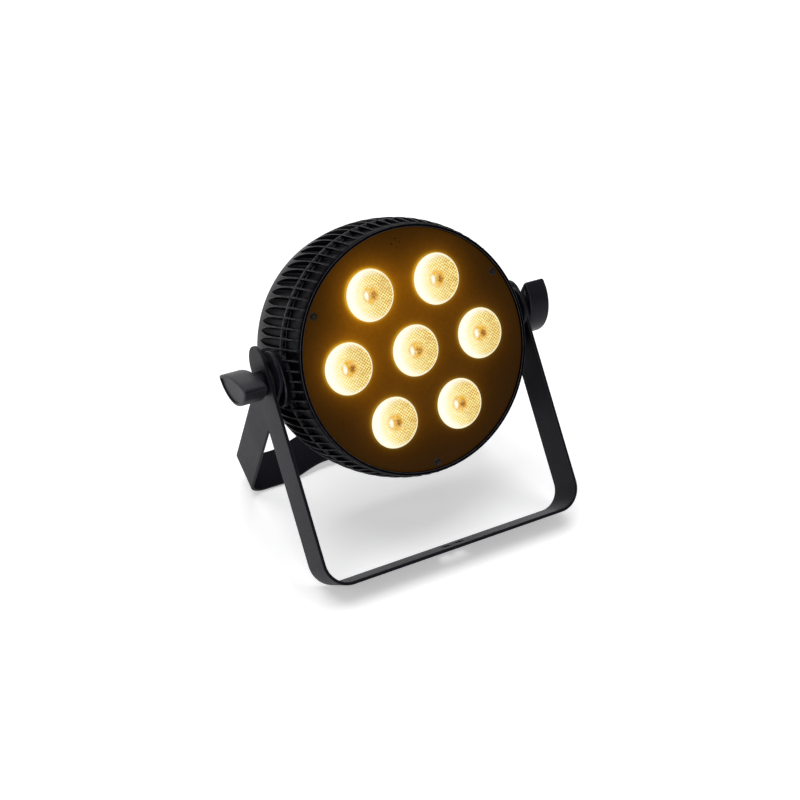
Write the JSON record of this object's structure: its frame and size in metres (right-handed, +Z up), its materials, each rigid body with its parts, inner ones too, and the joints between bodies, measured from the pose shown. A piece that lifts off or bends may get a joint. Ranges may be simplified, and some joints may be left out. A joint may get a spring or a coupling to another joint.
{
  "type": "par can light",
  "caption": "Round finned LED par light head with clear lenses, tilting on a double bracket with clamp knobs that also stands it on a floor.",
  "frame": {"origin": "middle of the footprint, on the surface that the two crossbars stand on", "axes": "+Z up; -Y is the side that the beam leaves on; +X to the right seen from the front, parallel to the tilt axis"},
  "size_m": [0.265, 0.195, 0.2358],
  "materials": {
    "bracket_coat": "fine-textured charcoal powder coat",
    "housing_coat": "satin charcoal coat on a die casting",
    "knob_plastic": "moulded, fine spark texture",
    "steel": "zinc-plated steel",
    "washer_rubber": "matt black rubber",
    "panel_black": "flat matt black",
    "lens_clear": "clear moulded lens with a fine grid, lit warm white",
    "holder_black": "moulded black",
    "led_amber": "phosphor-coated emitter",
    "white_board": "white solder mask on aluminium",
    "bare_aluminium": "milled",
    "component_black": "moulded electronic parts",
    "green_board": "green solder mask",
    "window_gloss": "polished black",
    "socket_black": "moulded socket plastic"
  },
  "bodies": {
    "front_bracket": {"front_bracket": "bracket_coat"},
    "rear_bracket": {"rear_bracket": "bracket_coat", "left_outer_washer": "washer_rubber", "right_outer_washer": "washer_rubber"},
    "head": {"front_bezel": "housing_coat", "rear_housing": "housing_coat", "housing_seal": "washer_rubber", "front_panel": "panel_black", "panel_screw_1": "steel", "panel_screw_2": "steel", "panel_screw_3": "steel", "lens_1": "lens_clear", "lens_2": "lens_clear", "lens_3": "lens_clear", "lens_4": "lens_clear", "lens_5": "lens_clear", "lens_6": "lens_clear", "lens_7": "lens_clear", "lens_holder_1": "holder_black", "lens_holder_2": "holder_black", "lens_holder_3": "holder_black", "lens_holder_4": "holder_black", "lens_holder_5": "holder_black", "lens_holder_6": "holder_black", "lens_holder_7": "holder_black", "led_emitter_1": "led_amber", "led_emitter_2": "led_amber", "led_emitter_3": "led_amber", "led_emitter_4": "led_amber", "led_emitter_5": "led_amber", "led_emitter_6": "led_amber", "led_emitter_7": "led_amber", "led_board": "white_board", "heat_spreader": "bare_aluminium", "microphone": "component_black", "power_supply_board": "green_board", "supply_transformer": "component_black", "supply_capacitor": "component_black", "control_board": "green_board", "display_module": "component_black", "rear_cover": "housing_coat", "display_window": "window_gloss", "signal_input": "socket_black", "signal_output": "socket_black", "power_inlet": "socket_black", "power_outlet": "socket_black", "safety_eye": "steel", "left_inner_washer": "washer_rubber", "right_inner_washer": "washer_rubber"},
    "left_knob": {"left_knob": "knob_plastic", "left_knob_stud": "steel"},
    "right_knob": {"right_knob": "knob_plastic", "right_knob_stud": "steel"},
    "menu_button_1": {"menu_button_1": "knob_plastic"},
    "menu_button_2": {"menu_button_2": "knob_plastic"},
    "menu_button_3": {"menu_button_3": "knob_plastic"},
    "menu_button_4": {"menu_button_4": "knob_plastic"},
    "output_latch": {"output_latch": "steel"},
    "fuse_cap": {"fuse_cap": "window_gloss"}
  },
  "joints": [
    {"name": "head_tilt", "type": "hinge", "parent": "front_bracket", "child": "head", "pos_m": [0, 0.00777, 0.13613], "axis": [1, 0, 0], "range_deg": [-66, 113]},
    {"name": "rear_bracket_swing", "type": "hinge", "parent": "front_bracket", "child": "rear_bracket", "pos_m": [0, 0.00777, 0.13613], "axis": [1, 0, 0], "range_deg": [-64, 116]},
    {"name": "left_knob_turn", "type": "hinge", "parent": "head", "child": "left_knob", "pos_m": [-0.12, 0.00777, 0.13613], "axis": [-1, 0, 0], "range_deg": [0, 720]},
    {"name": "right_knob_turn", "type": "hinge", "parent": "head", "child": "right_knob", "pos_m": [0.12, 0.00777, 0.13613], "axis": [1, 0, 0], "range_deg": [0, 720]},
    {"name": "menu_button_1_press", "type": "slide", "parent": "head", "child": "menu_button_1", "axis": [0, -0.9191, 0.3939], "range_m": [0, 0.0008], "stiffness_N_per_m": 500, "springref_m": -0.0005},
    {"name": "menu_button_2_press", "type": "slide", "parent": "head", "child": "menu_button_2", "axis": [0, -0.9191, 0.3939], "range_m": [0, 0.0008], "stiffness_N_per_m": 500, "springref_m": -0.0005},
    {"name": "menu_button_3_press", "type": "slide", "parent": "head", "child": "menu_button_3", "axis": [0, -0.9191, 0.3939], "range_m": [0, 0.0008], "stiffness_N_per_m": 500, "springref_m": -0.0005},
    {"name": "menu_button_4_press", "type": "slide", "parent": "head", "child": "menu_button_4", "axis": [0, -0.9191, 0.3939], "range_m": [0, 0.0008], "stiffness_N_per_m": 500, "springref_m": -0.0005},
    {"name": "output_latch_press", "type": "slide", "parent": "head", "child": "output_latch", "axis": [0, -0.9191, 0.3939], "range_m": [0, 0.001], "stiffness_N_per_m": 600, "springref_m": -0.0005},
    {"name": "fuse_cap_turn", "type": "hinge", "parent": "head", "child": "fuse_cap", "pos_m": [0, 0.0446, 0.07247], "axis": [0, 0.9191, -0.3939], "range_deg": [0, 90]}
  ]
}
